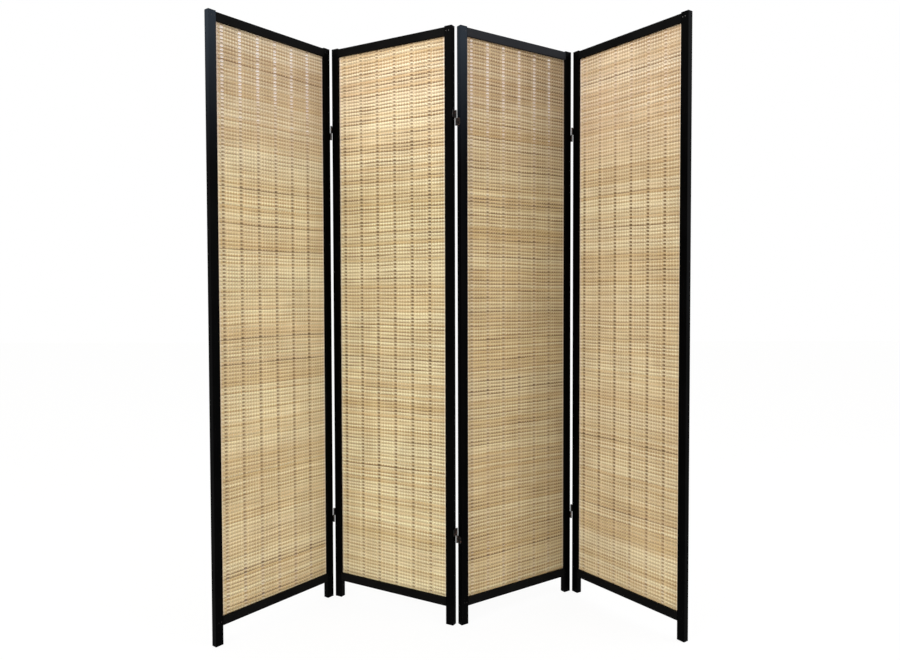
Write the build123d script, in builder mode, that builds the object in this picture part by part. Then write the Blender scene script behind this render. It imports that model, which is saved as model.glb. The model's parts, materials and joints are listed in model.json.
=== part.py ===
from build123d import *

import os
from math import cos, radians, sin

# Four-panel bamboo folding screen, in millimetres and degrees.
# X runs along the screen, Y away from its front, Z up; it stands on Z = 0.
# Every panel is a black wooden frame round a woven bamboo mat. The panels stand in a
# zigzag, and each of the three folds has an upper and a lower two-knuckle hinge.

# Overall sizes and the way the screen stands
SCREEN_HEIGHT = 1778.0
PANEL_WIDTH = 444.5
PANEL_TURNS = (51.8, -29.6, 34.8, -54.3)
FOLD_AT_BACK = (False, True, False)

# Frame sticks
FRAME_DEPTH = 19.0
STILE_WIDTH = 25.0
RAIL_HEIGHT = 25.0
LEG_HEIGHT = 54.0
STILE_HORN = 2.5
EDGE_EASE = 1.0

# Stub tenons on the rails and the glue room round them
TENON_LENGTH = 18.0
TENON_THICKNESS = 8.0
TENON_HEIGHT = 13.0
TENON_SHOULDER = 5.0
GLUE_ROOM = 0.1

# Nails through the front of each stile into the tenon
NAIL_THICKNESS = 1.6
NAIL_LENGTH = 12.0
NAIL_ROOM = 0.05
NAIL_FROM_MOUTH = (6.0, 14.5)

# Woven bamboo mat: its rows pass alternately before and behind the fine upright canes
ROW_PITCH = 10.4
ROW_THICKNESS = 1.6
MAT_THICKNESS = 3.2
GROOVE_DEPTH = 5.0
MAT_FACE_ROOM = 0.2
MAT_EDGE_ROOM = 0.3

# Hinges: each leaf is a folded sheet with one knuckle, one leaf above the other
HINGE_GAP = 5.0
HINGE_FROM_END = 267.0
KNUCKLE_HEIGHT = 22.0
KNUCKLE_ROOM = 0.4
LEAF_SHEET = 1.2
LEAF_DEPTH = 16.5
LEAF_CORNER = 3.0
PIN_PROUD = 1.5
PIN_ROOM = 0.05
PIN_HEAD_RADIUS = 2.1
PIN_HEAD_HEIGHT = 1.0
PIN_HEAD_LIFT = 0.15

# Countersunk screws
COUNTERSINK_DEPTH = 1.1
SCREW_SHANK_RADIUS = 1.6
SCREW_TIP_RADIUS = 0.8
SCREW_SHANK_LENGTH = 12.0
SCREW_ROOM = 0.05
SCREW_SPACING = 11.0

# Flats that stand for a round, kept few because knuckles, pin heads and screws repeat
HINGE_SIDES = 24
SCREW_SIDES = 8

# Sizes that follow from those above
KNUCKLE_RADIUS = HINGE_GAP / 2
BORE_RADIUS = KNUCKLE_RADIUS - LEAF_SHEET
PIN_RADIUS = BORE_RADIUS - PIN_ROOM
HINGE_HEIGHT = 2 * KNUCKLE_HEIGHT + KNUCKLE_ROOM
SCREW_HEAD_RADIUS = SCREW_SHANK_RADIUS + COUNTERSINK_DEPTH / cos(radians(180 / SCREW_SIDES))
SCREW_SECTIONS = (
    (LEAF_SHEET, SCREW_HEAD_RADIUS),
    (LEAF_SHEET - COUNTERSINK_DEPTH, SCREW_SHANK_RADIUS),
    (-SCREW_SHANK_LENGTH, SCREW_TIP_RADIUS),
)
PILOT_SECTIONS = (
    (0, SCREW_SHANK_RADIUS + SCREW_ROOM),
    (-SCREW_SHANK_LENGTH - SCREW_ROOM, SCREW_TIP_RADIUS + SCREW_ROOM),
)
OPENING_WIDTH = PANEL_WIDTH - 2 * STILE_WIDTH
TOP_RAIL_BASE = SCREEN_HEIGHT - STILE_HORN - RAIL_HEIGHT
BOTTOM_RAIL_TOP = LEG_HEIGHT + RAIL_HEIGHT
OPENING_HEIGHT = TOP_RAIL_BASE - BOTTOM_RAIL_TOP
GROOVE_WIDTH = MAT_THICKNESS + 2 * MAT_FACE_ROOM
MAT_IN_GROOVE = GROOVE_DEPTH - MAT_EDGE_ROOM
MAT_WIDTH = OPENING_WIDTH + 2 * MAT_IN_GROOVE
MAT_HEIGHT = OPENING_HEIGHT + 2 * MAT_IN_GROOVE
MAT_ROWS = round(MAT_HEIGHT / ROW_PITCH)
HINGE_BASES = {
    "lower": HINGE_FROM_END - HINGE_HEIGHT / 2,
    "upper": SCREEN_HEIGHT - HINGE_FROM_END - HINGE_HEIGHT / 2,
}

os.makedirs("parts", exist_ok=True)


class Panel:
    """Where one panel stands: its front left corner, and its own X and Y directions."""

    def __init__(self, turn):
        self.along = Vector(cos(radians(turn)), sin(radians(turn)), 0)
        self.depth = Vector(-sin(radians(turn)), cos(radians(turn)), 0)
        self.corner = Vector(0, 0, 0)

    def point(self, x, y, z=0):
        """A point given along the panel, back from its front face, and up."""
        return self.corner + self.along * x + self.depth * y + Vector(0, 0, z)

    def level(self, z):
        """The plan plane of the panel at a height."""
        return Plane(origin=self.point(0, 0, z), x_dir=self.along, z_dir=(0, 0, 1))

    def section(self, x):
        """The upright plane across the panel, its X back and its Y up."""
        return Plane(origin=self.point(x, 0), x_dir=self.depth, z_dir=self.along)

    def front(self):
        """The plane of the front face, its X along the panel, looking out of it."""
        return Plane(origin=self.point(0, 0), x_dir=self.along, z_dir=self.depth * -1)

    def end_face(self, end, lift=0):
        """The plane of an end, -1 left or 1 right, lifted off it, its Y up, looking out."""
        place = self.point(PANEL_WIDTH + lift if end > 0 else -lift, 0)
        return Plane(origin=place, x_dir=self.depth * end, z_dir=self.along * end)

    def pin(self, end, at_back):
        """The pin axis beside an end: halfway over the gap, proud of the front or back."""
        return self.point(*pin_place(end, at_back))


def pin_place(end, at_back):
    """The pin axis in a panel's own X and Y."""
    x = PANEL_WIDTH + HINGE_GAP / 2 if end > 0 else -HINGE_GAP / 2
    y = FRAME_DEPTH + PIN_PROUD if at_back else -PIN_PROUD
    return x, y


def stand_panels():
    """Hang each panel on the pin of the one before, then centre the screen on the origin."""
    panels = [Panel(turn) for turn in PANEL_TURNS]
    for before, after, at_back in zip(panels, panels[1:], FOLD_AT_BACK):
        after.corner = before.pin(1, at_back) - after.pin(-1, at_back)
    corners = [p.point(x, y) for p in panels for x in (0, PANEL_WIDTH) for y in (0, FRAME_DEPTH)]
    centre_x = (min(c.X for c in corners) + max(c.X for c in corners)) / 2
    centre_y = (min(c.Y for c in corners) + max(c.Y for c in corners)) / 2
    for panel in panels:
        panel.corner -= Vector(centre_x, centre_y, 0)
    return panels


PANELS = stand_panels()


def save(piece, name):
    """Label a finished piece with its node's name and write it."""
    piece.part.label = name
    export_step(piece.part, f"parts/{name}.step")


def tenon_base(top):
    """Foot of the tenon on the top or bottom rail: it keeps off the mat's groove."""
    if top:
        return TOP_RAIL_BASE + RAIL_HEIGHT - TENON_SHOULDER - TENON_HEIGHT
    return LEG_HEIGHT + TENON_SHOULDER


def nail_places(panel_end):
    """Nails of one end on the front face: a pair abreast at each tenon's mid height."""
    mouth = STILE_WIDTH if panel_end < 0 else PANEL_WIDTH - STILE_WIDTH
    return [
        (mouth + panel_end * inset, tenon_base(top) + TENON_HEIGHT / 2)
        for top in (False, True)
        for inset in NAIL_FROM_MOUTH
    ]


def hinge_leaf_above(end, at_back):
    """Whether a leaf has the upper knuckle: the hinge is turned round on a back fold."""
    return (end < 0) != at_back


def leaf_base(end, at_back, hinge):
    """Foot of one leaf and its knuckle."""
    raised = KNUCKLE_HEIGHT + KNUCKLE_ROOM if hinge_leaf_above(end, at_back) else 0
    return HINGE_BASES[hinge] + raised


def screw_places(end, at_back, hinge):
    """The two screws of a leaf on the panel's end plane, at the middle of its plate."""
    back = FRAME_DEPTH - LEAF_DEPTH / 2 if at_back else LEAF_DEPTH / 2
    middle = leaf_base(end, at_back, hinge) + KNUCKLE_HEIGHT / 2
    return [(end * back, middle + side * SCREW_SPACING / 2) for side in (-1, 1)]


def make_stile(panel, end, fold):
    """A full-height stile with its mat groove, two mortises, nail and screw holes."""
    mouth = STILE_WIDTH if end < 0 else PANEL_WIDTH - STILE_WIDTH
    groove_middle = mouth + end * GROOVE_DEPTH / 2
    mortise_depth = TENON_LENGTH + GLUE_ROOM
    mortise_middle = mouth + end * mortise_depth / 2
    with BuildPart() as stile:
        with BuildSketch(panel.level(0)):
            with Locations((mouth + end * STILE_WIDTH / 2, FRAME_DEPTH / 2)):
                outline = Rectangle(STILE_WIDTH, FRAME_DEPTH)
            chamfer(outline.vertices(), EDGE_EASE)
        extrude(amount=SCREEN_HEIGHT)
        with BuildSketch(panel.level(BOTTOM_RAIL_TOP - GROOVE_DEPTH)):
            with Locations((groove_middle, FRAME_DEPTH / 2)):
                Rectangle(GROOVE_DEPTH, GROOVE_WIDTH)
        extrude(amount=OPENING_HEIGHT + 2 * GROOVE_DEPTH, mode=Mode.SUBTRACT)
        for top in (False, True):
            with BuildSketch(panel.level(tenon_base(top) - GLUE_ROOM)):
                with Locations((mortise_middle, FRAME_DEPTH / 2)):
                    Rectangle(mortise_depth, TENON_THICKNESS + 2 * GLUE_ROOM)
            extrude(amount=TENON_HEIGHT + 2 * GLUE_ROOM, mode=Mode.SUBTRACT)
        with BuildSketch(panel.front()):
            with Locations(*nail_places(end)):
                Rectangle(NAIL_THICKNESS + 2 * NAIL_ROOM, NAIL_THICKNESS + 2 * NAIL_ROOM)
        extrude(amount=-NAIL_LENGTH - NAIL_ROOM, mode=Mode.SUBTRACT)
        for hinge in HINGE_BASES if fold is not None else ():
            for place in screw_places(end, FOLD_AT_BACK[fold], hinge):
                for lift, radius in PILOT_SECTIONS:
                    with BuildSketch(panel.end_face(end, lift)):
                        with Locations(place):
                            RegularPolygon(radius, SCREW_SIDES)
                loft(ruled=True, mode=Mode.SUBTRACT)
    return stile


def make_rail(panel, top):
    """A rail between the stiles, grooved for the mat, with a stub tenon at each end."""
    base = TOP_RAIL_BASE if top else LEG_HEIGHT
    groove_middle = base + GROOVE_DEPTH / 2 if top else base + RAIL_HEIGHT - GROOVE_DEPTH / 2
    tenon_middle = tenon_base(top) + TENON_HEIGHT / 2
    with BuildPart() as rail:
        with BuildSketch(panel.section(STILE_WIDTH)):
            with Locations((FRAME_DEPTH / 2, base + RAIL_HEIGHT / 2)):
                outline = Rectangle(FRAME_DEPTH, RAIL_HEIGHT)
            chamfer(outline.vertices(), EDGE_EASE)
            with Locations((FRAME_DEPTH / 2, groove_middle)):
                Rectangle(GROOVE_WIDTH, GROOVE_DEPTH, mode=Mode.SUBTRACT)
        extrude(amount=OPENING_WIDTH)
        with BuildSketch(panel.section(STILE_WIDTH - TENON_LENGTH)):
            with Locations((FRAME_DEPTH / 2, tenon_middle)):
                Rectangle(TENON_THICKNESS, TENON_HEIGHT)
        extrude(amount=OPENING_WIDTH + 2 * TENON_LENGTH)
        nails = [spot for end in (-1, 1) for spot in nail_places(end)]
        with BuildSketch(panel.front()):
            with Locations(*[spot for spot in nails if abs(spot[1] - tenon_middle) < TENON_HEIGHT]):
                Rectangle(NAIL_THICKNESS + 2 * NAIL_ROOM, NAIL_THICKNESS + 2 * NAIL_ROOM)
        extrude(amount=-NAIL_LENGTH - NAIL_ROOM, mode=Mode.SUBTRACT)
    return rail


def make_mat(panel):
    """The woven mat cut between two canes: each row is a fold, alternately front and back."""
    base = BOTTOM_RAIL_TOP - MAT_IN_GROOVE
    pitch = MAT_HEIGHT / MAT_ROWS
    sway = (MAT_THICKNESS - ROW_THICKNESS) / 2
    middle = [(FRAME_DEPTH / 2, base)]
    for row in range(MAT_ROWS):
        side = 1 if row % 2 else -1
        middle.append((FRAME_DEPTH / 2 + side * sway, base + (row + 0.5) * pitch))
    middle.append((FRAME_DEPTH / 2, base + MAT_HEIGHT))
    front = [(y - ROW_THICKNESS / 2, z) for y, z in middle]
    back = [(y + ROW_THICKNESS / 2, z) for y, z in middle]
    with BuildPart() as mat:
        with BuildSketch(panel.section(STILE_WIDTH - MAT_IN_GROOVE)):
            with BuildLine():
                Polyline(*front, *reversed(back), close=True)
            make_face()
        extrude(amount=MAT_WIDTH)
    return mat


def make_nails(panel):
    """Eight short nails, two at each corner, flush with the stiles' front faces."""
    with BuildPart() as nails:
        with BuildSketch(panel.front()):
            for end in (-1, 1):
                with Locations(*nail_places(end)):
                    Rectangle(NAIL_THICKNESS, NAIL_THICKNESS)
        extrude(amount=-NAIL_LENGTH)
    return nails


def make_leaf(panel, end, at_back, hinge):
    """A hinge leaf: a plate flat on the stile's end, rolled round the pin at its edge."""
    pin_x, pin_y = pin_place(end, at_back)
    plate_x = PANEL_WIDTH + LEAF_SHEET / 2 if end > 0 else -LEAF_SHEET / 2
    plate_length = LEAF_DEPTH + PIN_PROUD
    inward = -1 if at_back else 1
    with BuildPart() as leaf:
        with BuildSketch(panel.level(leaf_base(end, at_back, hinge))):
            with Locations((pin_x, pin_y)):
                RegularPolygon(KNUCKLE_RADIUS, HINGE_SIDES)
            with Locations((plate_x, pin_y + inward * plate_length / 2)):
                Rectangle(LEAF_SHEET, plate_length)
            with Locations((pin_x, pin_y)):
                RegularPolygon(BORE_RADIUS, HINGE_SIDES, major_radius=False, mode=Mode.SUBTRACT)
        extrude(amount=KNUCKLE_HEIGHT)
        across = leaf.edges().filter_by(Axis((0, 0, 0), panel.along))
        free_corners = across.sort_by(Axis((0, 0, 0), panel.depth * inward))[-2:]
        chamfer(free_corners, LEAF_CORNER)
        with BuildSketch(panel.end_face(end, LEAF_SHEET)):
            with Locations(*screw_places(end, at_back, hinge)):
                RegularPolygon(SCREW_SHANK_RADIUS + SCREW_ROOM, SCREW_SIDES)
        extrude(amount=-LEAF_SHEET, mode=Mode.SUBTRACT)
        drilled = leaf.faces().filter_by(lambda face: len(face.inner_wires()) > 1)
        outer = drilled.sort_by(Axis((0, 0, 0), panel.along * end))[-1]
        chamfer(outer.inner_wires().edges(), COUNTERSINK_DEPTH)
    return leaf


def make_hinge_pin(panel, at_back, hinge):
    """The pin through both knuckles: a head over the upper one, its foot flush below."""
    place = pin_place(1, at_back)
    base = HINGE_BASES[hinge]
    with BuildPart() as pin:
        with BuildSketch(panel.level(base)):
            with Locations(place):
                Circle(PIN_RADIUS)
        extrude(amount=HINGE_HEIGHT + PIN_HEAD_LIFT)
        with BuildSketch(panel.level(base + HINGE_HEIGHT + PIN_HEAD_LIFT)):
            with Locations(place):
                RegularPolygon(PIN_HEAD_RADIUS, HINGE_SIDES)
        extrude(amount=PIN_HEAD_HEIGHT)
    return pin


def make_screws(panel, end, at_back):
    """The four screws that hold the upper and lower leaf on one end of a panel."""
    with BuildPart() as screws:
        for hinge in HINGE_BASES:
            for place in screw_places(end, at_back, hinge):
                for lift, radius in SCREW_SECTIONS:
                    with BuildSketch(panel.end_face(end, lift)):
                        with Locations(place):
                            RegularPolygon(radius, SCREW_SIDES)
                loft(ruled=True)
    return screws


# The four framed panels
for number, panel in enumerate(PANELS, start=1):
    left_fold = number - 2 if number > 1 else None
    right_fold = number - 1 if number < len(PANELS) else None
    save(make_stile(panel, -1, left_fold), f"panel_{number}_left_stile")
    save(make_stile(panel, 1, right_fold), f"panel_{number}_right_stile")
    save(make_rail(panel, True), f"panel_{number}_top_rail")
    save(make_rail(panel, False), f"panel_{number}_bottom_rail")
    save(make_mat(panel), f"panel_{number}_bamboo_mat")
    save(make_nails(panel), f"panel_{number}_corner_nails")

# The three folds, each with a lower and an upper hinge
for fold, at_back in enumerate(FOLD_AT_BACK):
    left, right = PANELS[fold], PANELS[fold + 1]
    name = f"fold_{fold + 1}"
    for hinge in HINGE_BASES:
        save(make_leaf(left, 1, at_back, hinge), f"{name}_{hinge}_left_leaf")
        save(make_leaf(right, -1, at_back, hinge), f"{name}_{hinge}_right_leaf")
        save(make_hinge_pin(left, at_back, hinge), f"{name}_{hinge}_pin")
    save(make_screws(left, 1, at_back), f"{name}_left_screws")
    save(make_screws(right, -1, at_back), f"{name}_right_screws")
    axis = left.pin(1, at_back)
    print(f"{name} axis at X {axis.X:.3f}, Y {axis.Y:.3f}")

for number, panel in enumerate(PANELS, start=1):
    print(f"panel {number} front left corner at X {panel.corner.X:.3f}, Y {panel.corner.Y:.3f}")
print(f"{MAT_ROWS} woven rows at {MAT_HEIGHT / MAT_ROWS:.3f}")
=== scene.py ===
"""The looks of a four-panel bamboo folding screen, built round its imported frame.

Black painted sticks and black hinges keep their own shapes and get their finishes here.
The mats are woven here: fine upright canes, and pairs of split-bamboo strips that pass
before and behind them and nest together at six upright lines of small gaps.
"""

import json
from math import cos, pi, radians, sin

import bpy
import numpy as np
from mathutils import Matrix, Vector


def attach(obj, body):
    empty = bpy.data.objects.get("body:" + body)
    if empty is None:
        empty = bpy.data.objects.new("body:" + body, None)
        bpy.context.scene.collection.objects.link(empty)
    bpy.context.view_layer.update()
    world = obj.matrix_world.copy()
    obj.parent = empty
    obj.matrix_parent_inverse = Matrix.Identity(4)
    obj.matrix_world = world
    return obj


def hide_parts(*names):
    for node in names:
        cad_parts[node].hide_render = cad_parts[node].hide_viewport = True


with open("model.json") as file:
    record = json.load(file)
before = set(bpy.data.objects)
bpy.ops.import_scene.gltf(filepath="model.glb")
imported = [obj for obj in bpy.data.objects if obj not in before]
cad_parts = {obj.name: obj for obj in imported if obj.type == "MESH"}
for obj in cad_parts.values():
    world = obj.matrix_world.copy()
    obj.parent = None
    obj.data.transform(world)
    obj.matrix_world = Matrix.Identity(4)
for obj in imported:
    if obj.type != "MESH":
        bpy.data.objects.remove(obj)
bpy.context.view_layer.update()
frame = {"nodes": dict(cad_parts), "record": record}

bl_info = {
    "name": "Bamboo Folding Screen",
    "version": (1, 0, 0),
    "blender": (4, 5, 0),
    "location": "View3D > Sidebar > Screen",
    "description": "Weaves the mats and gives the frames and hinges of a folding screen their finish",
    "category": "Object",
}

PANEL_NUMBERS = (1, 2, 3, 4)
PHOTO_WIDTH = 900
PHOTO_HEIGHT = 660

TURN = 2 * pi

# Waves along the strips, the canes and the dark lines: height, in metres or as shade, and length
STRIP_WAVE = (0.00015, 0.09)
CANE_WAVE = (0.0003, 0.5)
LINE_WAVE = (0.22, 0.31)

# Waves that whole mats share: height, length along the panel and length upwards, in metres
SLOW_DRIFT = (0.0022, 0.75, 0.62)
QUICK_DRIFT = (0.0007, 0.19, 0.31)

# Share of the arch over the left, the middle and the right of a gap
ARCH = (0.7, 1.0, 0.7)

# How far before and past its nominal edge a pale rim fades out, in metres
RIM_BEFORE = 0.0002
RIM_PAST = 0.0018

# Canes: sides, levels at which they bend and share of the strips' paleness
CANE_SIDES = 6
CANE_LEVELS = 25
CANE_TONE = 0.6

# Paleness of the rows: level, two waves by height and rows, and the spread of rows and of strips
PALE_LEVEL = 0.50
PALE_WAVES = ((0.06, 37), (0.05, 13))
PALE_ROWS = 0.11
PALE_STRIPS = 0.24

# How much paler the upper strips are, and how much darker the lower ones: painted light and shade across each
# row
UPPER_TONE = 0.16
LOWER_TONE = -0.12

# Short bands of paler or darker rows, and the chances of a cream and of a tan row
BAND_CHANGES = (-0.24, 0.34, 0.26)
BANDS_OF_EACH = 4
CREAM_CHANCE = 0.06
TAN_CHANCE = 0.03

# Rosiness of the rows: level, one wave by height and rows, and spread
ROSY_LEVEL = 0.10
ROSY_WAVE = (0.05, 29)
ROSY_ROWS = 0.09

# Shade of the lines between rows: at the foot of each mat, from the full row up, spread and limit
LINE_LEVELS = ((0.72, 0.64), (0.54, 0.90), (0.76, 0.90), (0.68, 0.68))
LINE_FULL_ROW = 75.0
LINE_SPREAD = 0.18
LINE_LIMIT = 1.15
STRONG_CHANCE = 0.022
STRONG_LINE = 1.25

# Shade from which a line counts as bold, and how much more of it makes it fully bold
BOLD_FROM = 1.06
BOLD_REACH = 0.24

# Shade of the upper strips: behind a cane, in a gap, by a bold line, and at the foot
BEHIND_SHADE = 0.12
UPPER_BEHIND = 0.8
UPPER_GAP = 0.42
UPPER_BOLD = 0.1
UPPER_FOOT = 0.15
UPPER_FOOT_GAP = 0.75

# Shade of the lower strips: in a gap, by a bold line, at the crown and at the foot
LOWER_GAP = 1.30
LOWER_BOLD = 0.2
LOWER_CROWN = 0.40
LOWER_CROWN_GAP = 0.95
LOWER_FOOT_GAP = 1.15

# The deepest shade of all, and how pale the rims beside the stiles are
DEEPEST_SHADE = 1.3
RIM_SHARE = 0.48

# Light from behind in each mat's gaps: height where it starts, height to full, least share
GAP_LIGHT = ((1.30, 0.26, 0.0), (1.30, 0.26, 0.0), (1.02, 0.54, 0.42), (1.30, 0.26, 0.0))

# The same close to the floor: share, height where it ends and height to full
FLOOR_LIGHT = (0.55, 0.44, 0.28)

# Openings: stray ones below the others, gaps that stay shut, and how much rows and gaps differ
STRAY_CHANCE = 0.10
STRAY_REACH = 0.25
STRAY_SIZE = 0.8
SHUT_CHANCE = 0.12
OPEN_ROWS = 0.15
OPEN_GAPS = 0.35
FIRST_GAP = 0.6
WIDEST = 1.5

# Grain of fibres and blotches: spots to the metre along, across and through a strip
FIBRE_SCALE = (9.0, 900.0, 1.0)
BLOTCH_SCALE = (14.0, 60.0, 1.0)

# Brush streaks in the paint: spots to the metre along and across a stick
BRUSH_ALONG = 5.0
BRUSH_ACROSS = 260.0

# Heights over which the mats' tops change their painted light and shade, by what, and over which the paint's
# painted sheen grows
TOP_LIGHT_HEIGHTS = (1.28, 1.62)
TOP_TINT = (1.0, 0.975, 1.07)
SHEEN_HEIGHTS = (1.35, 1.74)

# Half the floor's side, in metres
FLOOR_REACH = 12.0


class WeaveSizes(bpy.types.PropertyGroup):
    """Sizes of the woven mats, in metres."""

    rows: bpy.props.IntProperty(
        name="Rows", description="Pairs of strips from the bottom rail to the top rail", default=162, min=1)
    strip_width: bpy.props.FloatProperty(
        name="Strip width", description="Height of one split-bamboo strip", default=0.0065, unit="LENGTH")
    strip_thickness: bpy.props.FloatProperty(
        name="Strip thickness", description="Thickness of one strip", default=0.0009, unit="LENGTH")
    pair_spacing: bpy.props.FloatProperty(
        name="Pair spacing", description="Between the two strips of a row", default=0.0051, unit="LENGTH")
    cane_radius: bpy.props.FloatProperty(
        name="Cane radius", description="Radius of the fine upright canes", default=0.0008, unit="LENGTH")
    cane_spacing: bpy.props.FloatProperty(
        name="Cane spacing", description="Between neighbouring canes", default=0.0049, unit="LENGTH")
    gaps_1: bpy.props.FloatVectorProperty(
        name="Gaps 1", description="From mat 1's left edge to its gaps", size=6, unit="LENGTH",
        default=(0.0270, 0.0872, 0.1490, 0.2118, 0.2742, 0.3363))
    gaps_2: bpy.props.FloatVectorProperty(
        name="Gaps 2", description="From mat 2's left edge to its gaps", size=6, unit="LENGTH",
        default=(0.0245, 0.0885, 0.1510, 0.2155, 0.2788, 0.3413))
    gaps_3: bpy.props.FloatVectorProperty(
        name="Gaps 3", description="From mat 3's left edge to its gaps", size=6, unit="LENGTH",
        default=(0.0253, 0.0862, 0.1472, 0.2103, 0.2722, 0.3350))
    gaps_4: bpy.props.FloatVectorProperty(
        name="Gaps 4", description="From mat 4's left edge to its gaps", size=6, unit="LENGTH",
        default=(0.0240, 0.0894, 0.1533, 0.2161, 0.2804, 0.3413))
    gap_reach: bpy.props.FloatProperty(
        name="Gap reach", description="From a gap's middle to its nearest canes", default=0.0070,
        unit="LENGTH")
    gap_half: bpy.props.FloatProperty(
        name="Gap half width", description="Half the width of a gap", default=0.0046, unit="LENGTH")
    arch_rise: bpy.props.FloatProperty(
        name="Arch rise", description="How far a row's edge rises across a gap", default=0.0013,
        unit="LENGTH")
    open_from: bpy.props.FloatProperty(
        name="Open from", description="Height where the gaps begin to show through", default=1.53,
        unit="LENGTH")
    open_over: bpy.props.FloatProperty(
        name="Open over", description="Height over which they open", default=0.05, unit="LENGTH")
    # Painted shade in the gaps, and painted light from behind that pales them and the strips across them
    gap_shade: bpy.props.FloatVectorProperty(
        name="Gap shade", description="How dark the gaps of each mat are", size=4,
        default=(0.80, 0.88, 0.80, 0.90))
    open_share: bpy.props.FloatVectorProperty(
        name="Open share", description="How far the gaps open at the top", size=4,
        default=(0.17, 0.0, 0.09, 0.0))
    gap_fade: bpy.props.FloatVectorProperty(
        name="Gap fade", description="How far light from behind pales each mat's gaps", size=4,
        default=(0.30, 0.24, 0.45, 0.40))
    gap_glow: bpy.props.FloatVectorProperty(
        name="Gap glow", description="How far it pales the strips across them", size=4,
        default=(0.55, 0.0, 0.62, 0.25))
    rim_left: bpy.props.FloatVectorProperty(
        name="Left rim", description="Width of each mat's pale left rim", size=4, unit="LENGTH",
        default=(0.0136, 0.0084, 0.0136, 0.0084))
    rim_right: bpy.props.FloatVectorProperty(
        name="Right rim", description="Width of each mat's pale right rim", size=4, unit="LENGTH",
        default=(0.0080, 0.0122, 0.0080, 0.0122))
    # Painted shade on the lower strips of each row
    row_depth: bpy.props.FloatVectorProperty(
        name="Row depth", description="How dark the lower strips of each mat are", size=4,
        default=(0.46, 0.56, 0.60, 0.52))


class BambooColours(bpy.types.PropertyGroup):
    """Colours of the split bamboo."""

    cream: bpy.props.FloatVectorProperty(
        name="Cream", description="Palest strips", subtype="COLOR", default=(0.98, 0.94, 0.64), min=0,
        max=1)
    tan: bpy.props.FloatVectorProperty(
        name="Tan", description="Ordinary strips", subtype="COLOR", default=(0.73, 0.57, 0.29), min=0,
        max=1)
    rosy: bpy.props.FloatVectorProperty(
        name="Rosy", description="Strips cut near the skin", subtype="COLOR", default=(0.88, 0.70, 0.46),
        min=0, max=1)
    # Dark: fibre streaks, and the painted shade of the recesses between rows and in the gaps
    dark: bpy.props.FloatVectorProperty(
        name="Dark", description="Scorched strips and deep recesses", subtype="COLOR",
        default=(0.25, 0.163, 0.078), min=0, max=1)
    # Painted shade deep in the gaps and on the strong lines
    hollow_shade: bpy.props.FloatVectorProperty(
        name="Hollow", description="Depth of the gaps and of the strong lines", subtype="COLOR",
        default=(0.105, 0.066, 0.030), min=0, max=1)
    stain: bpy.props.FloatVectorProperty(
        name="Stain", description="Broad patches on the mats", subtype="COLOR", default=(0.52, 0.36, 0.19),
        min=0, max=1)
    # Painted light and shade: each mat's colours are scaled by how brightly it is lit, mat 3 the most shaded
    tint_1: bpy.props.FloatVectorProperty(
        name="Tint 1", description="Share of each colour that mat 1 keeps", size=3,
        default=(1.04, 0.987, 0.965), min=0, max=2)
    tint_2: bpy.props.FloatVectorProperty(
        name="Tint 2", description="Share of each colour that mat 2 keeps", size=3,
        default=(1.01, 0.98, 0.955), min=0, max=2)
    tint_3: bpy.props.FloatVectorProperty(
        name="Tint 3", description="Share of each colour that mat 3 keeps", size=3,
        default=(0.93, 0.860, 0.80), min=0, max=2)
    tint_4: bpy.props.FloatVectorProperty(
        name="Tint 4", description="Share of each colour that mat 4 keeps", size=3,
        default=(0.962, 0.902, 0.890), min=0, max=2)
    # Painted light and shade at the top of each mat
    top_level: bpy.props.FloatVectorProperty(
        name="Top level", description="How light each mat is at its top", size=4,
        default=(0.88, 1.24, 0.90, 1.10), min=0, max=2)
    # Painted shade and light across each mat towards its right
    mat_slope: bpy.props.FloatVectorProperty(
        name="Mat slope", description="Loss of light across each mat to its right", size=4,
        default=(0.0, -0.03, 0.22, 0.0), min=-1, max=1)
    # Pale rim beside the stiles, and the painted light from behind that pales the strips across the gaps
    rim: bpy.props.FloatVectorProperty(
        name="Rim", description="Frayed ends of the strips beside the stiles", subtype="COLOR",
        default=(0.88, 0.79, 0.70), min=0, max=1)


class PaintColours(bpy.types.PropertyGroup):
    """Colours of the painted and metal pieces."""

    frame_paint: bpy.props.FloatVectorProperty(
        name="Frame paint", description="Satin black on the sticks", subtype="COLOR",
        default=(0.0007, 0.0007, 0.0008), min=0, max=1)
    rail_paint: bpy.props.FloatVectorProperty(
        name="Rail paint", description="Duller black on the rails", subtype="COLOR",
        default=(0.0034, 0.0033, 0.0032), min=0, max=1)
    hinge_paint: bpy.props.FloatVectorProperty(
        name="Hinge paint", description="Black on the hinges", subtype="COLOR",
        default=(0.008, 0.0078, 0.0075), min=0, max=1)
    bare_steel: bpy.props.FloatVectorProperty(
        name="Bare steel", description="Nail heads without paint", subtype="COLOR",
        default=(0.34, 0.32, 0.29), min=0, max=1)
    # Painted glints: bronze patches standing in for highlights on the hinges, pins and black nails
    painted_glints: bpy.props.FloatVectorProperty(
        name="Rubbed metal", description="Bronze patches where the black is rubbed off the hinges",
        subtype="COLOR", default=(0.15, 0.085, 0.065), min=0, max=1)
    # Painted sheen: bluish highlights added high on the left stiles of panels 1 and 3, faintly on the other
    # stiles, and on the top rail of panel 3
    painted_stile_sheen: bpy.props.FloatVectorProperty(
        name="Stile dust", description="Added high on the left stiles of panels 1 and 3",
        subtype="COLOR", default=(0.019, 0.025, 0.033), min=0, max=1)
    painted_plain_sheen: bpy.props.FloatVectorProperty(
        name="Plain dust", description="Added high on the other stiles",
        subtype="COLOR", default=(0.001, 0.001, 0.001), min=0, max=1)
    painted_rail_sheen: bpy.props.FloatVectorProperty(
        name="Rail dust", description="Added on the top rail of panel 3",
        subtype="COLOR", default=(0.015, 0.016, 0.019), min=0, max=1)


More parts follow.
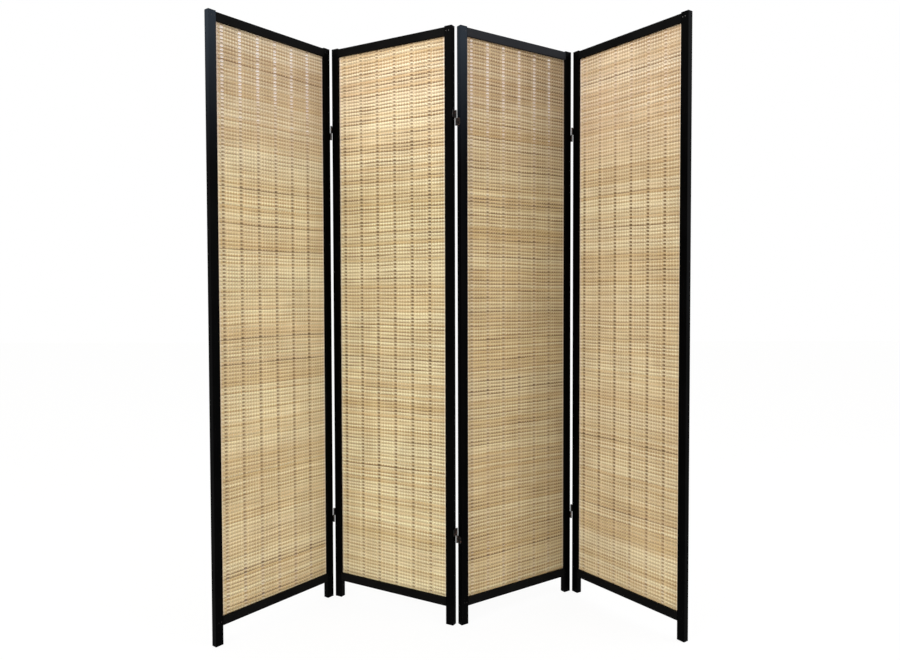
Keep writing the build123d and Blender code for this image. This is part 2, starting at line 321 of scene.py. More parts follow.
class StageSettings(bpy.types.PropertyGroup):
    """The camera and the light."""

    lens: bpy.props.FloatProperty(
        name="Lens", description="Focal length on a 36 mm sensor, in mm", default=29.16)
    camera_place: bpy.props.FloatVectorProperty(
        name="Camera", description="Where the camera stands", subtype="XYZ",
        default=(0.0030, -2.2209, 1.0024))
    pitch: bpy.props.FloatProperty(
        name="Pitch", description="Degrees that the camera looks up", default=-1.736)
    yaw: bpy.props.FloatProperty(name="Yaw", description="Degrees that it looks to the right", default=-0.097)
    roll: bpy.props.FloatProperty(name="Roll", description="Degrees that it leans", default=-0.153)
    centre_column: bpy.props.FloatProperty(
        name="Centre column", description="Picture column of the optical axis", default=450.3)
    centre_row: bpy.props.FloatProperty(
        name="Centre row", description="Picture row of the optical axis", default=312.57)
    key_power: bpy.props.FloatProperty(
        name="Key lamp", description="Watts of the large lamp at the left", default=103.0)
    side_power: bpy.props.FloatProperty(
        name="Side lamp", description="Watts of the cooler lamp at the right", default=78.0)
    key_place: bpy.props.FloatVectorProperty(
        name="Key place", description="Where the large lamp hangs", subtype="XYZ",
        default=(-3.2, -3.6, 3.0))
    key_size: bpy.props.FloatProperty(name="Key size", description="Side of the large lamp", default=1.8)
    key_aim: bpy.props.FloatProperty(name="Key aim", description="Height that it faces", default=0.9)
    side_place: bpy.props.FloatVectorProperty(
        name="Side place", description="Where the cooler lamp hangs", subtype="XYZ",
        default=(3.7, -0.9, 2.2))
    side_size: bpy.props.FloatProperty(name="Side size", description="Side of the cooler lamp", default=3.0)
    side_aim: bpy.props.FloatProperty(name="Side aim", description="Height that it faces", default=1.0)
    side_tint: bpy.props.FloatVectorProperty(
        name="Side tint", description="Colour of the cooler lamp", subtype="COLOR",
        default=(0.90, 0.93, 1.0), min=0, max=1)
    fill_level: bpy.props.FloatProperty(
        name="Fill", description="Strength of the light from all round", default=0.92)


class PanelPlace:
    """Where a panel stands, read from its feet, and the box of its mat along, back and up."""

    def __init__(self, number):
        feet = {m["name"]: Vector(m["pos_m"]) for m in frame["record"]["mounts"]}
        left, right = feet[f"panel_{number}_left_foot"], feet[f"panel_{number}_right_foot"]
        self.along = np.array((right - left).normalized())
        self.back = np.array([-self.along[1], self.along[0], 0.0])
        self.foot = np.array(left)
        self.mat = f"panel_{number}_bamboo_mat"
        mesh = frame["nodes"][self.mat].data
        points = np.empty(len(mesh.vertices) * 3)
        mesh.vertices.foreach_get("co", points)
        local = self.to_panel(points.reshape(-1, 3))
        self.low, self.high = local.min(axis=0), local.max(axis=0)
        self.turn = np.arctan2(self.along[1], self.along[0])

    def to_panel(self, points):
        """Points of the row frame as distances along the panel, back and up from its left foot."""
        offset = points - self.foot
        return np.stack([offset @ self.along, offset @ self.back, offset[..., 2]], axis=-1)

    def to_frame(self, along, back, up):
        """Arrays of distances along, back and up as points of the row frame."""
        return (self.foot + along[..., None] * self.along + back[..., None] * self.back
                + up[..., None] * np.array([0.0, 0.0, 1.0]))


def mesh_piece(name, points, faces, attributes, material, body, slot, *nodes):
    """A smooth mesh from whole arrays, with point attributes, that rides on a body."""
    mesh = bpy.data.meshes.new(name)
    mesh.from_pydata(points.reshape(-1, 3).tolist(), [], faces.reshape(-1, 4).tolist())
    for label, (kind, field, values) in attributes.items():
        mesh.attributes.new(label, kind, "POINT").data.foreach_set(field, values.astype(np.float32).ravel())
    mesh.polygons.foreach_set("use_smooth", np.ones(len(mesh.polygons), bool))
    mesh.set_sharp_from_angle(angle=radians(32))
    mesh.update()
    piece = bpy.data.objects.new(name, mesh)
    bpy.context.scene.collection.objects.link(piece)
    mesh.materials.append(material)
    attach(piece, body)
    if nodes:
        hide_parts(*nodes)


def tube_faces(tubes, stations, sides):
    """Quads of many closed tubes: each joins ring corner i to i + 1 and station s to s + 1.
    Two more quads close the ends of each four-sided tube."""
    corner = np.arange(tubes * stations * sides).reshape(tubes, stations, sides)
    turned = np.roll(corner, -1, axis=2)
    walls = np.stack([corner[:, :-1], turned[:, :-1], turned[:, 1:], corner[:, 1:]], axis=-1)
    if sides != 4:
        return walls.reshape(-1, 4)
    starts = corner[:, 0, ::-1]
    ends = corner[:, -1, :]
    return np.concatenate([walls.reshape(-1, 4), starts, ends])


def stations_of(number, place, sizes):
    """The stations along a mat at which its strips are worked out, as a dictionary of arrays.

    x is the distance from the mat's left edge, and phase is 1 where the lower strip is in front of
    a cane and -1 where the upper one is. rise is the share of the arch across a gap, gap the gap's
    number or -1, beside is 1 at the two canes next to a gap, and beat counts the canes of a band, so
    that its cosine is highest at a cane and lowest between two; it is 0 at gaps and edges. canes are
    the distances of the canes."""
    width = place.high[0] - place.low[0]
    gaps = np.array(getattr(sizes, f"gaps_{number}"))
    canes, phases, beside, beats = [], [], [], []
    edges = np.concatenate([[-np.inf], gaps, [np.inf]])
    for band, (start, end) in enumerate(zip(edges, edges[1:])):
        if np.isinf(start):
            count = int((end - sizes.gap_reach) // sizes.cane_spacing) + 1
            canes.append(end - sizes.gap_reach - sizes.cane_spacing * np.arange(count)[::-1])
            phases.append((-1.0) ** np.arange(count)[::-1])
        elif np.isinf(end):
            count = int((width - start - sizes.gap_reach) // sizes.cane_spacing) + 1
            canes.append(start + sizes.gap_reach + sizes.cane_spacing * np.arange(count))
            phases.append((-1.0) ** np.arange(count))
        else:
            count = 2 * round((end - start - 2 * sizes.gap_reach) / sizes.cane_spacing / 2) + 1
            canes.append(np.linspace(start + sizes.gap_reach, end - sizes.gap_reach, count))
            phases.append((-1.0) ** np.arange(count))
        near = np.zeros(count)
        near[0 if start > 0 else -1] = 1
        near[-1 if end < np.inf else 0] = 1
        beside.append(near)
        beats.append(np.arange(count) + 100.0 * band)
    canes = np.concatenate(canes)
    across = (gaps[:, None] + sizes.gap_half * np.array([-1.0, 0.0, 1.0])).ravel()
    three = np.ones(len(across))
    left, right = sizes.rim_left[number - 1], width - sizes.rim_right[number - 1]
    ends = np.array([0.0, left - RIM_BEFORE, left + RIM_PAST, right - RIM_PAST, right + RIM_BEFORE, width])
    x = np.concatenate([canes, across, ends])
    parts = {
        "x": x,
        "phase": np.concatenate([*phases, -three, 0 * ends]),
        "rise": np.concatenate([0 * canes, np.tile(ARCH, len(gaps)), 0 * ends]),
        "gap": np.concatenate([0 * canes - 1, np.repeat(np.arange(len(gaps)), 3), 0 * ends - 1]),
        "beside": np.concatenate([*beside, 0 * three, 0 * ends]),
        "beat": np.concatenate([*beats, 0 * three, 0 * ends]),
    }
    order = np.argsort(x)
    stations = {name: values[order] for name, values in parts.items()}
    stations["canes"] = canes
    return stations


def weave_strips(number, upper, place, sizes, material):
    """The upper or lower strips of all rows of one mat.

    A strip's middle lies at its row's height, plus its half of the pair spacing, plus the slow
    drift of the whole weave. It is swayed to the front or back by its phase times the radius of a
    cane and half its own thickness. Its section is a thin rhombus. Across a gap the edges at which
    a row's two strips meet rise by the arch, and the lower strip is cut down where light shows through.

    The strip_tint attribute holds how pale and how rosy the strip is, how deep in painted shade each of its
    four corners lies, from its crown round to its foot, and how far it is paled at a rim and by painted light
    from behind across a gap."""
    rng = np.random.default_rng(100 * number + upper)
    st = stations_of(number, place, sizes)
    x, rise, beside = st["x"], st["rise"], st["beside"]
    base, top = place.low[2], place.high[2]
    pitch = (top - base) / sizes.rows
    rows = np.arange(sizes.rows)
    side = 1 if upper else -1
    sway = sizes.cane_radius + sizes.strip_thickness / 2
    middle = base + (rows + 0.5) * pitch + side * sizes.pair_spacing / 2
    height = middle[:, None] + weave_drift(number, x, middle) + wavy(rng, len(rows), x, *STRIP_WAVE)
    depth = (place.low[1] + place.high[1]) / 2 + side * st["phase"] * sway + np.zeros_like(height)
    half = sizes.strip_width / 2 * (1 + rng.normal(0, 0.03, (len(rows), 1)))
    over, under = height + half, height - half
    if upper:
        under = under + sizes.arch_rise * rise
    else:
        opening = gap_opening(number, middle, sizes)[:, st["gap"].astype(int)] * (rise > 0)
        over = over + sizes.arch_rise * rise * (opening == 0) - 2 * half * opening
    thin = sizes.strip_thickness / 2
    along = np.broadcast_to(place.low[0] + x[None, :, None], height.shape + (4,))
    back = depth[..., None] + np.array([0.0, -thin, 0.0, thin])
    crest = (over + under) / 2
    up = np.clip(np.stack([over, crest, under, crest], axis=-1), base, top)
    points = place.to_frame(along, back, up)
    tone = row_tones(number, rng, len(rows))
    tone[:, 0] += UPPER_TONE if upper else LOWER_TONE
    line = row_lines(number, x, len(rows))
    light = gap_light(number, middle)
    gap = rise * sizes.gap_shade[number - 1] * (1 - sizes.gap_fade[number - 1] * light[:, None])
    behind = BEHIND_SHADE * (side * st["phase"] > 0)
    bold = np.clip(line - BOLD_FROM, 0, BOLD_REACH) / BOLD_REACH
    if upper:
        middle_shade = UPPER_BEHIND * behind + UPPER_GAP * gap + UPPER_BOLD * bold
        crown, foot = line, UPPER_FOOT + UPPER_FOOT_GAP * gap
    else:
        line = np.concatenate([line[:1], line[:-1]])
        bold = np.concatenate([bold[:1], bold[:-1]])
        sunk = (sizes.row_depth[number - 1] + behind) * (1 - beside) * (rise == 0)
        middle_shade = sunk + LOWER_GAP * gap + LOWER_BOLD * bold
        crown, foot = LOWER_CROWN + LOWER_CROWN_GAP * gap, np.maximum(line, LOWER_FOOT_GAP * gap)
    recess = np.stack([crown, middle_shade, foot, middle_shade], axis=-1)
    edge = ((x < sizes.rim_left[number - 1]) | (x > x[-1] - sizes.rim_right[number - 1])) * RIM_SHARE
    glow = sizes.gap_glow[number - 1] * light
    edge = np.maximum(edge, glow[:, None] * rise * upper)
    tint = np.empty(recess.shape + (4,))
    tint[..., 0] = tone[:, 0, None, None]
    tint[..., 1] = tone[:, 1, None, None]
    tint[..., 2] = recess.clip(0, DEEPEST_SHADE)
    tint[..., 3] = edge[..., None]
    ring_up = np.array([1.0, 0.0, -1.0, 0.0])
    grain = np.stack([along + rng.uniform(0, 50, len(rows))[:, None, None],
                      np.broadcast_to(ring_up * sizes.strip_width / 2, along.shape),
                      np.broadcast_to(rng.uniform(0, 50, len(rows))[:, None, None], along.shape)], axis=-1)
    attributes = {
        "strip_tint": ("FLOAT_COLOR", "color", tint),
        "strip_grain": ("FLOAT_VECTOR", "vector", grain),
        "strip_beat": ("FLOAT", "value", np.broadcast_to(st["beat"][:, None], recess.shape)),
    }
    name = f"panel_{number}_{'upper' if upper else 'lower'}_strips"
    faces = tube_faces(len(rows), len(x), 4)
    mesh_piece(name, points, faces, attributes, material, f"panel_{number}", "bamboo", place.mat)


def gap_light(number, middle):
    """How much light from behind tints the gaps of each row: from a least share at mid height to full
    at the top, and about half of it close to the floor. The third mat's gaps are pale all the way."""
    start, reach, least = GAP_LIGHT[number - 1]
    share, end, depth = FLOOR_LIGHT
    light = np.clip((middle - start) / reach, 0, 1) + share * np.clip((end - middle) / depth, 0, 1)
    return np.maximum(light, least)


def wavy(rng, count, x, height, wavelength):
    """Gentle waves along x, a different one for each strip: a sum of two sines of random phase."""
    turns = rng.uniform(0, TURN, (2, count, 1))
    first = np.sin(TURN * x / wavelength + turns[0])
    second = np.sin(TURN * x / (0.41 * wavelength) + turns[1])
    return height * (0.7 * first + 0.3 * second)


def weave_drift(number, x, middle):
    """How far the rows of a mat run off level: slow waves that neighbouring rows share."""
    turns = np.random.default_rng(40 + number).uniform(0, TURN, 4)
    z = middle[:, None]
    height, along, up = SLOW_DRIFT
    slow = height * (np.sin(TURN * x / along + turns[0]) * np.sin(TURN * z / up + turns[1]))
    height, along, up = QUICK_DRIFT
    quick = height * (np.sin(TURN * x / along + turns[2] + 7 * z) * np.sin(TURN * z / up + turns[3]))
    return slow + quick


def gap_opening(number, middle, sizes):
    """The share of each lower strip that is cut away at each gap: none low down, most at the top."""
    rng = np.random.default_rng(60 + number)
    share = np.clip((middle - sizes.open_from) / sizes.open_over, 0, 1)
    stray = (rng.uniform(0, 1, len(middle)) < STRAY_CHANCE) & (middle > sizes.open_from - STRAY_REACH)
    share = np.maximum(share, STRAY_SIZE * stray)
    share[-1] = 0
    each = rng.normal(1, OPEN_ROWS, (len(middle), 1)) + rng.normal(0, OPEN_GAPS, (len(middle), 6))
    each[rng.uniform(0, 1, each.shape) < SHUT_CHANCE] = 0
    each[:, 0] *= FIRST_GAP
    return np.clip(share[:, None] * each, 0, WIDEST) * sizes.open_share[number - 1]


def row_tones(number, rng, count):
    """For each row, how pale it is and how rosy: most are middling, some stand out."""
    own = np.random.default_rng(20 + number)
    turns = own.uniform(0, TURN, 3)
    rows = np.arange(count)
    slow = sum(high * np.sin(TURN * rows / length + turn) for (high, length), turn in zip(PALE_WAVES, turns))
    pale = PALE_LEVEL + slow + own.normal(0, PALE_ROWS, count) + rng.normal(0, PALE_STRIPS, count)
    changes = np.tile(BAND_CHANGES, BANDS_OF_EACH)
    for start, change in zip(own.integers(0, count - 6, len(changes)), changes):
        pale[start:start + own.integers(1, 5)] += change
    odd = own.uniform(0, 1, count)
    pale[odd < CREAM_CHANCE] = 1.05
    pale[odd > 1 - TAN_CHANCE] = 0.0
    high, length = ROSY_WAVE
    rosy = ROSY_LEVEL + high * np.sin(TURN * rows / length + turns[2]) + own.normal(0, ROSY_ROWS, count)
    return np.clip(np.stack([pale, rosy], axis=-1), 0, 1)


def row_lines(number, x, count):
    """How dark the painted shade on the line above each row is along the panel: a few rows have a strong one.
    """
    rng = np.random.default_rng(80 + number)
    low, high = LINE_LEVELS[number - 1]
    level = low + (high - low) * np.clip(np.arange(count) / LINE_FULL_ROW, 0, 1)
    strength = np.clip(level * rng.normal(1.0, LINE_SPREAD, count), 0, LINE_LIMIT)
    strength[rng.uniform(0, 1, count) < STRONG_CHANCE] = STRONG_LINE
    return np.clip(strength[:, None] + wavy(rng, count, x, *LINE_WAVE), 0, DEEPEST_SHADE)


def weave_canes(number, place, sizes, material):
    """The fine upright canes of one mat: six-sided rods that wander a little as they rise."""
    rng = np.random.default_rng(700 + number)
    canes = stations_of(number, place, sizes)["canes"]
    levels = np.linspace(place.low[2], place.high[2], CANE_LEVELS)
    angle = np.linspace(0, TURN, CANE_SIDES, endpoint=False)
    drift = wavy(rng, len(canes), levels, *CANE_WAVE)
    middle = (place.low[1] + place.high[1]) / 2
    shape = (len(canes), len(levels), len(angle))
    along = place.low[0] + canes[:, None, None] + drift[..., None] + sizes.cane_radius * np.cos(angle)
    back = np.broadcast_to(middle + sizes.cane_radius * np.sin(angle), shape)
    up = np.broadcast_to(levels[None, :, None], shape)
    tone = row_tones(number, rng, len(canes))
    tint = np.zeros(shape + (4,))
    tint[..., 0] = tone[:, 0, None, None] * CANE_TONE
    tint[..., 1] = tone[:, 1, None, None]
    grain = np.stack([up, along, back + rng.uniform(0, 50, len(canes))[:, None, None]], axis=-1)
    attributes = {
        "strip_tint": ("FLOAT_COLOR", "color", tint),
        "strip_grain": ("FLOAT_VECTOR", "vector", grain),
    }
    points = place.to_frame(along, back, up)
    faces = tube_faces(len(canes), len(levels), len(angle))
    name = f"panel_{number}_canes"
    mesh_piece(name, points, faces, attributes, material, f"panel_{number}", "bamboo", place.mat)


class Nodes:
    """A short way to add and join the nodes of one material or world."""

    def __init__(self, owner):
        owner.use_nodes = True
        self.tree = owner.node_tree
        self.tree.nodes.clear()

    def add(self, kind, settings=None, **inputs):
        """Add a node, set its own settings and its sockets, each to a value or another's output.
        A socket goes by its name, with _ for a blank, or by n and its number."""
        node = self.tree.nodes.new(kind)
        for key, value in (settings or {}).items():
            setattr(node, key, value)
        for key, value in inputs.items():
            socket = node.inputs[int(key[1:]) if key.startswith("n") else key.replace("_", " ")]
            if isinstance(value, bpy.types.NodeSocket):
                self.tree.links.new(value, socket)
            else:
                socket.default_value = value
        return node

    def mix(self, share, first, second, blend="MIX"):
        """A colour mixed from two, by a share from 0 to 1."""
        settings = {"data_type": "RGBA", "blend_type": blend}
        return self.add("ShaderNodeMix", settings, n0=share, n6=first, n7=second).outputs[2]

    def ramp(self, value, low, high, first, last):
        """A number carried from the range low to high on to the range first to last."""
        return self.add("ShaderNodeMapRange", n0=value, n1=low, n2=high, n3=first, n4=last).outputs[0]

    def noise(self, place, scale, detail):
        """Soft noise from 0 to 1 at a place, with so many spots to the metre."""
        return self.add("ShaderNodeTexNoise", Vector=place, Scale=scale, Detail=detail).outputs["Fac"]

    def math(self, operation, first, second=0.0):
        """The result of a sum on two numbers."""
        return self.add("ShaderNodeMath", {"operation": operation}, n0=first, n1=second).outputs[0]

    def place(self):
        """The place of a point in its object, in metres."""
        return self.add("ShaderNodeTexCoord").outputs["Object"]

    def stretch(self, place, scale):
        """A place with its three numbers multiplied by a scale."""
        return self.add("ShaderNodeMapping", n0=place, n3=scale).outputs[0]

    def seen(self):
        """1 for rays from the camera, off gloss or through glass, and 0 for all others."""
        rays = self.add("ShaderNodeLightPath")
        seen = self.math("MAXIMUM", rays.outputs["Is Camera Ray"], rays.outputs["Is Glossy Ray"])
        return self.math("MAXIMUM", seen, rays.outputs["Is Transmission Ray"])

    def relief(self, height, strength, distance):
        """A fine relief in the surface, from a number at each point."""
        return self.add("ShaderNodeBump", Strength=strength, Distance=distance, Height=height).outputs[0]

    def surface(self, **inputs):
        """The end of a material: a Principled surface with these sockets set."""
        shader = self.add("ShaderNodeBsdfPrincipled", **inputs)
        self.add("ShaderNodeOutputMaterial", n0=shader.outputs[0])


def colour(value):
    """A colour property as the four numbers of a socket."""
    return (*value, 1.0)


def bamboo_material(colours, number, along, start):
    """Split bamboo: tan to cream by strip, fine fibres along it, with painted shade in the recesses, the
    gaps, between rows and between canes.
    """
    material = bpy.data.materials.new(f"split_bamboo_{number}")
    n = Nodes(material)
    tint = n.add("ShaderNodeAttribute", {"attribute_name": "strip_tint"})
    parts = n.add("ShaderNodeSeparateColor", n0=tint.outputs["Color"])
    grain = n.add("ShaderNodeAttribute", {"attribute_name": "strip_grain"}).outputs["Vector"]
    stretched = n.stretch(grain, FIBRE_SCALE)
    fibre = n.add("ShaderNodeTexNoise", Vector=stretched, Scale=1.0, Detail=4.0, Roughness=0.6).outputs["Fac"]
    patch = n.stretch(grain, BLOTCH_SCALE)
    blotch = n.noise(patch, 1.0, 2.0)
    pale = n.math("ADD", parts.outputs[0], n.math("MULTIPLY", n.math("SUBTRACT", blotch, 0.5), 0.9))
    pale = n.add("ShaderNodeClamp", n0=pale).outputs[0]
    body = n.mix(pale, colour(colours.tan), colour(colours.cream))
    body = n.mix(n.math("MULTIPLY", parts.outputs[1], 0.7), body, colour(colours.rosy))
    streak = n.ramp(fibre, 0.35, 0.7, 0.0, 0.17)
    body = n.mix(streak, body, colour(colours.dark))
    # Painted shade between the canes, where the strips slope away from them
    beat = n.add("ShaderNodeAttribute", {"attribute_name": "strip_beat"}).outputs["Fac"]
    between = n.math("SUBTRACT", 1.0, n.math("COSINE", n.math("MULTIPLY", beat, TURN)))
    place = n.place()
    clear = n.noise(place, 9.0, 1.0)
    clear = n.ramp(clear, 0.38, 0.60, 0.10, 0.38)
    bead_shade = n.math("MULTIPLY", n.math("POWER", n.math("MULTIPLY", between, 0.5), 2.0), clear)
    # Painted shade from each corner's shade share, deepest in the gaps and under strong lines
    deep = n.math("MULTIPLY", n.math("POWER", parts.outputs[2], 1.25), 0.98)
    shade = n.add("ShaderNodeClamp", n0=n.math("ADD", deep, bead_shade), n2=0.97).outputs[0]
    body = n.mix(shade, body, colour(colours.dark))
    deeper = n.ramp(parts.outputs[2], 0.86, 1.26, 0.0, 0.85)
    body = n.mix(deeper, body, colour(colours.hollow_shade))
    edge = n.math("MULTIPLY", tint.outputs["Alpha"], 0.8)
    body = n.mix(edge, body, colour(colours.rim))
    broad = n.noise(place, 5.5, 3.0)
    stain = n.ramp(broad, 0.52, 0.72, 0.0, 0.16)
    body = n.mix(stain, body, colour(colours.stain))
    # Painted light and shade by mat, and at the tops of the mats
    height = n.add("ShaderNodeSeparateXYZ", n0=place).outputs[2]
    low = np.array(getattr(colours, f"tint_{number}"))
    high = low * colours.top_level[number - 1] * np.array(TOP_TINT)
    top_light = n.ramp(height, *TOP_LIGHT_HEIGHTS, 0.0, 1.0)
    level = n.mix(top_light, colour(low), colour(high))
    body = n.mix(1.0, body, level, "MULTIPLY")
    # Painted shade: each mat grows darker or lighter across towards its right by its slope
    dot = n.add("ShaderNodeVectorMath", {"operation": "DOT_PRODUCT"}, n0=place, n1=tuple(along))
    across = n.ramp(dot.outputs["Value"], start + 0.03, start + 0.42, 0.0, 1.0)
    loss = n.math("MULTIPLY", n.math("SUBTRACT", across, 0.3), 1.5 * colours.mat_slope[number - 1])
    body = n.mix(loss, body, (0.0, 0.0, 0.0, 1.0))
    bump = n.relief(fibre, 0.35, 0.0004)
    n.surface(Base_Color=body, Roughness=0.52, Specular_IOR_Level=0.2, Normal=bump)
    return material


def paint_material(name, tone, turn, upright, painted_sheen):
    """Satin black paint over wood: faint brush streaks along the stick in gloss and relief.
    Towards its top a painted sheen of the given colour, a highlight painted into the paint, is added."""
    material = bpy.data.materials.new(name)
    n = Nodes(material)
    place = n.place()
    turned = n.add("ShaderNodeMapping", n0=place, n2=(0.0, 0.0, -turn)).outputs[0]
    across, along = BRUSH_ACROSS, BRUSH_ALONG
    streaks = n.stretch(turned, (across, across, along) if upright else (along, across, across))
    brush = n.noise(streaks, 1.0, 3.0)
    cloud = n.noise(place, 9.0, 2.0)
    worn = n.ramp(cloud, 0.35, 0.75, 0.0, 1.0)
    dust_and_sheen = tuple(1.6 * c + 0.0005 for c in tone)
    body = n.mix(worn, colour(tone), colour(dust_and_sheen))
    height = n.add("ShaderNodeSeparateXYZ", n0=place).outputs[2]
    # Painted sheen, growing towards the top of the stick
    high = n.ramp(height, *SHEEN_HEIGHTS, 0.0, 1.0)
    body = n.mix(n.math("POWER", high, 1.5), body, n.mix(1.0, body, colour(painted_sheen), "ADD"))
    gloss = n.ramp(brush, 0.3, 0.7, 0.27, 0.38)
    bump = n.relief(brush, 0.12, 0.0003)
    n.surface(Base_Color=body, Roughness=gloss, Specular_IOR_Level=0.012, Normal=bump)
    return material


def metal_material(name, tone, glints, metallic, roughness):
    """Painted metal with a fine mottle in its colour and gloss, and small bronze patches of painted glint."""
    material = bpy.data.materials.new(name)
    n = Nodes(material)
    place = n.place()
    speck = n.noise(place, 900.0, 3.0)
    worn = n.ramp(speck, 0.55, 0.8, 0.0, 0.6)
    body = n.mix(worn, colour(tone), colour(tuple(min(1.0, 2.2 * c + 0.01) for c in tone)))
    # Painted glints: small bronze patches standing in for highlights
    patch = n.noise(place, 260.0, 1.0)
    share = n.ramp(patch, 0.60, 0.66, 0.0, 0.8)
    body = n.mix(share, body, colour(glints))
    gloss = n.ramp(speck, 0.3, 0.7, roughness - 0.06, roughness + 0.1)
    bump = n.relief(speck, 0.1, 0.0001)
    n.surface(Base_Color=body, Metallic=metallic, Roughness=gloss, Specular_IOR_Level=0.45, Normal=bump)
    return material


def nail_material(steel, paint, place):
    """Nail heads: worn to bare steel at a panel's top right corner, black elsewhere."""
    material = bpy.data.materials.new("nail_heads")
    n = Nodes(material)
    spot = n.place()
    parts = n.add("ShaderNodeSeparateXYZ", n0=spot)
    across = n.math("ADD", n.math("MULTIPLY", parts.outputs[0], float(place.along[0])),
                    n.math("MULTIPLY", parts.outputs[1], float(place.along[1])))
    right = n.math("GREATER_THAN", across, float(place.foot @ place.along) + 0.2)
    high = n.math("GREATER_THAN", parts.outputs[2], 1.0)
    worn = n.math("MULTIPLY", right, high)
    speck = n.noise(spot, 1500.0, 2.0)
    dirty = n.ramp(speck, 0.3, 0.7, 0.55, 1.0)
    share = n.math("MULTIPLY", worn, dirty)
    body = n.mix(share, colour(paint), colour(steel))
    metal = n.math("MULTIPLY", share, 0.6)
    n.surface(Base_Color=body, Metallic=metal, Roughness=0.5, Specular_IOR_Level=0.1)
    return material


def finish_node(node, material):
    """Give a CAD node one material in all its slots."""
    slots = frame["nodes"][node].data.materials
    for index in range(len(slots)):
        slots[index] = material


class SCREEN_OT_weave_mats(bpy.types.Operator):
    """Weave the four bamboo mats"""

    bl_idname = "folding_screen.weave_mats"
    bl_label = "Weave the mats"

    def execute(self, context):
        sizes = context.scene.weave_sizes
        for number in PANEL_NUMBERS:
            place = PanelPlace(number)
            material = bamboo_material(context.scene.bamboo_colours, number, place.along,
                                       float(place.foot @ place.along))
            weave_canes(number, place, sizes, material)
            weave_strips(number, True, place, sizes, material)
            weave_strips(number, False, place, sizes, material)
        return {"FINISHED"}


class SCREEN_OT_paint_frames(bpy.types.Operator):
    """Paint the stiles and rails"""

    bl_idname = "folding_screen.paint_frames"
    bl_label = "Paint the frames"

    def execute(self, context):
        colours = context.scene.paint_colours
        tone, rail_tone = tuple(colours.frame_paint), tuple(colours.rail_paint)
        for number in PANEL_NUMBERS:
            turn = PanelPlace(number).turn
            # Painted sheen: on the top rail of panel 3, and high on the stiles, strongest on the left stiles
            # of panels 1 and 3
            painted_sheen = tuple(colours.painted_rail_sheen) if number == 3 else (0.0, 0.0, 0.0)
            rail_paint = paint_material(f"rail_paint_{number}", rail_tone, turn, False, painted_sheen)
            for side in ("left", "right"):
                dust_and_sheen = side == "left" and number in (1, 3)
                painted_sheen = tuple(colours.painted_stile_sheen if dust_and_sheen else colours.painted_plain_sheen)
                stile_paint = paint_material(f"{side}_stile_paint_{number}", tone, turn, True, painted_sheen)
                finish_node(f"panel_{number}_{side}_stile", stile_paint)
            for level in ("top", "bottom"):
                finish_node(f"panel_{number}_{level}_rail", rail_paint)
        return {"FINISHED"}


class SCREEN_OT_finish_hardware(bpy.types.Operator):
    """Finish the hinges, screws and nails"""

    bl_idname = "folding_screen.finish_hardware"
    bl_label = "Finish the hardware"

    def execute(self, context):
        colours = context.scene.paint_colours
        glints = tuple(colours.painted_glints)
        black = metal_material("hinge_black", tuple(colours.hinge_paint), glints, 0.0, 0.30)
        pin_black = metal_material("pin_black", tuple(colours.hinge_paint), glints, 0.3, 0.28)
        painted = metal_material("nail_black", tuple(colours.frame_paint), glints, 0.0, 0.45)
        nails = {f"panel_{number}_corner_nails": painted for number in PANEL_NUMBERS}
        for number in (2, 4):
            nails[f"panel_{number}_corner_nails"] = nail_material(colours.bare_steel, colours.frame_paint,
                                                                  PanelPlace(number))
        for node in frame["nodes"]:
            if node.endswith("leaf") or node.endswith("screws"):
                finish_node(node, black)
            elif node.endswith("pin"):
                finish_node(node, pin_black)
            elif node.endswith("nails"):
                finish_node(node, nails[node])
        return {"FINISHED"}


def plain_sheet(name, corners, material):
    """A flat four-cornered sheet of the stage."""
    mesh = bpy.data.meshes.new(name)
    mesh.from_pydata(corners, [], [(0, 1, 2, 3)])
    mesh.materials.append(material)
    sheet = bpy.data.objects.new(name, mesh)
    bpy.context.scene.collection.objects.link(sheet)


def floor_material():
    """White floor: white to the camera but for the object's soft shadow, pale to other rays."""
    material = bpy.data.materials.new("white_floor")
    n = Nodes(material)
    plain = n.add("ShaderNodeBsdfDiffuse", Color=(0.8, 0.8, 0.8, 1.0)).outputs[0]
    glow = n.add("ShaderNodeEmission", Color=(1.0, 1.0, 1.0, 1.0), Strength=1.02).outputs[0]
    mixed = n.add("ShaderNodeMixShader", n0=n.math("MULTIPLY", n.seen(), 0.9), n1=plain, n2=glow).outputs[0]
    n.add("ShaderNodeOutputMaterial", n0=mixed)
    return material


def world_light(level):
    """An even light from all round, which the camera and gloss see as plain white."""
    world = bpy.data.worlds.new("studio")
    n = Nodes(world)
    seen = n.seen()
    strength = n.ramp(seen, 0.0, 1.0, level, 1.0)
    tint = n.mix(seen, (1.0, 0.985, 0.955, 1.0), (1.0, 1.0, 1.0, 1.0))
    sky = n.add("ShaderNodeBackground", Color=tint, Strength=strength)
    n.add("ShaderNodeOutputWorld", n0=sky.outputs[0])
    return world


def area_lamp(name, place, aim, size, power, tint):
    """A square lamp that faces the middle of the screen at the height aim."""
    lamp = bpy.data.lights.new(name, "AREA")
    lamp.size = size
    lamp.energy = power
    lamp.color = tint
    holder = bpy.data.objects.new(name, lamp)
    holder.location = place
    holder.rotation_euler = (Vector((0.0, 0.0, aim)) - Vector(place)).to_track_quat("-Z", "Y").to_euler()
    bpy.context.scene.collection.objects.link(holder)


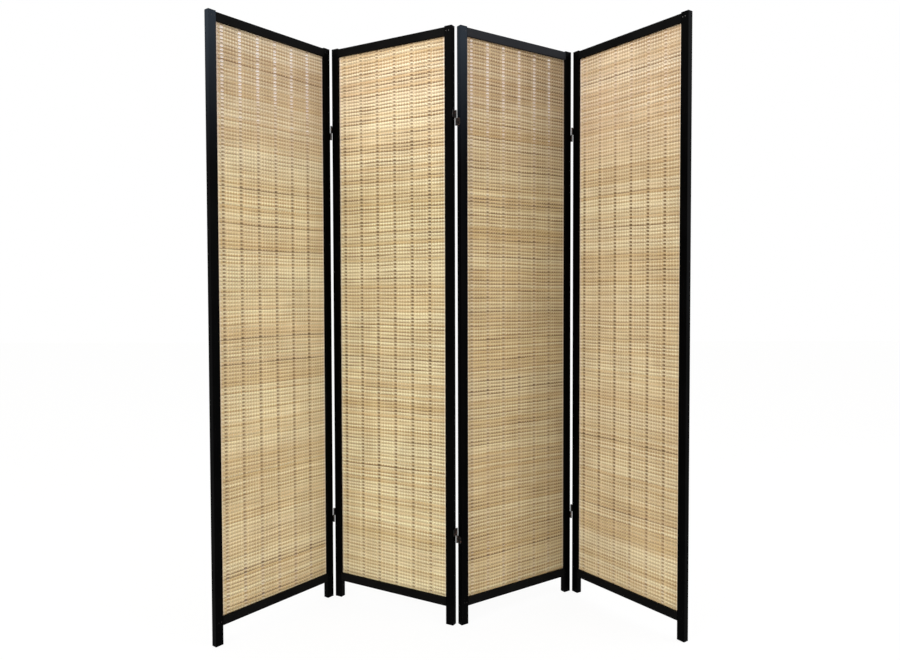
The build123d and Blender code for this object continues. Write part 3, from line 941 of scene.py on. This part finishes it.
def photo_camera(settings):
    """The camera of the photograph: its axes are turned by yaw, pitch and then roll."""
    yaw, pitch, roll = (radians(a) for a in (settings.yaw, settings.pitch, settings.roll))
    ahead = Vector((sin(yaw) * cos(pitch), cos(yaw) * cos(pitch), sin(pitch)))
    level = Vector((cos(yaw), -sin(yaw), 0.0))
    upward = level.cross(ahead)
    right = level * cos(roll) + upward * sin(roll)
    top = upward * cos(roll) - level * sin(roll)
    data = bpy.data.cameras.new("photo_camera")
    data.sensor_fit = "HORIZONTAL"
    data.sensor_width = 36.0
    data.lens = settings.lens
    data.shift_x = (PHOTO_WIDTH / 2 - settings.centre_column) / PHOTO_WIDTH
    data.shift_y = (settings.centre_row - PHOTO_HEIGHT / 2) / PHOTO_WIDTH
    camera = bpy.data.objects.new("photo_camera", data)
    camera.matrix_world = Matrix.Translation(settings.camera_place) @ Matrix(
        (right, top, -ahead)).transposed().to_4x4()
    bpy.context.scene.collection.objects.link(camera)
    return camera


class SCREEN_OT_set_stage(bpy.types.Operator):
    """Set up the floor, the light and the camera"""

    bl_idname = "folding_screen.set_stage"
    bl_label = "Set the stage"

    def execute(self, context):
        settings = context.scene.stage_settings
        reach = FLOOR_REACH
        plain_sheet("floor", [(-reach, -reach, 0), (reach, -reach, 0), (reach, reach, 0), (-reach, reach, 0)],
                    floor_material())
        context.scene.world = world_light(settings.fill_level)
        area_lamp("key", settings.key_place, settings.key_aim, settings.key_size, settings.key_power,
                  (1.0, 1.0, 1.0))
        area_lamp("side", settings.side_place, settings.side_aim, settings.side_size,
                  settings.side_power, settings.side_tint)
        context.scene.camera = photo_camera(settings)
        context.scene.view_settings.view_transform = "Standard"
        return {"FINISHED"}


class SCREEN_PT_sidebar(bpy.types.Panel):
    """The steps that dress the folding screen"""

    bl_label = "Folding screen"
    bl_idname = "SCREEN_PT_sidebar"
    bl_space_type = "VIEW_3D"
    bl_region_type = "UI"
    bl_category = "Screen"

    def draw(self, context):
        """List the steps as buttons and then every setting."""
        for operator in OPERATORS:
            self.layout.operator(operator.bl_idname)
        for group in GROUPS:
            settings = getattr(context.scene, group)
            for name in settings.__annotations__:
                self.layout.prop(settings, name)


# The scene's groups of settings by name, and the steps in the order in which they run
GROUPS = {
    "weave_sizes": WeaveSizes,
    "bamboo_colours": BambooColours,
    "paint_colours": PaintColours,
    "stage_settings": StageSettings,
}
OPERATORS = (SCREEN_OT_weave_mats, SCREEN_OT_paint_frames, SCREEN_OT_finish_hardware, SCREEN_OT_set_stage)


def register():
    """Register the groups of settings, the operators and the panel."""
    for name, group in GROUPS.items():
        bpy.utils.register_class(group)
        setattr(bpy.types.Scene, name, bpy.props.PointerProperty(type=group))
    for operator in OPERATORS:
        bpy.utils.register_class(operator)
    bpy.utils.register_class(SCREEN_PT_sidebar)


def unregister():
    """Take them out again in the opposite order."""
    bpy.utils.unregister_class(SCREEN_PT_sidebar)
    for operator in reversed(OPERATORS):
        bpy.utils.unregister_class(operator)
    for name, group in reversed(list(GROUPS.items())):
        delattr(bpy.types.Scene, name)
        bpy.utils.unregister_class(group)


def main():
    """Dress the screen."""
    register()
    bpy.ops.folding_screen.weave_mats()
    bpy.ops.folding_screen.paint_frames()
    bpy.ops.folding_screen.finish_hardware()
    bpy.ops.folding_screen.set_stage()


if __name__ == "__main__":
    main()
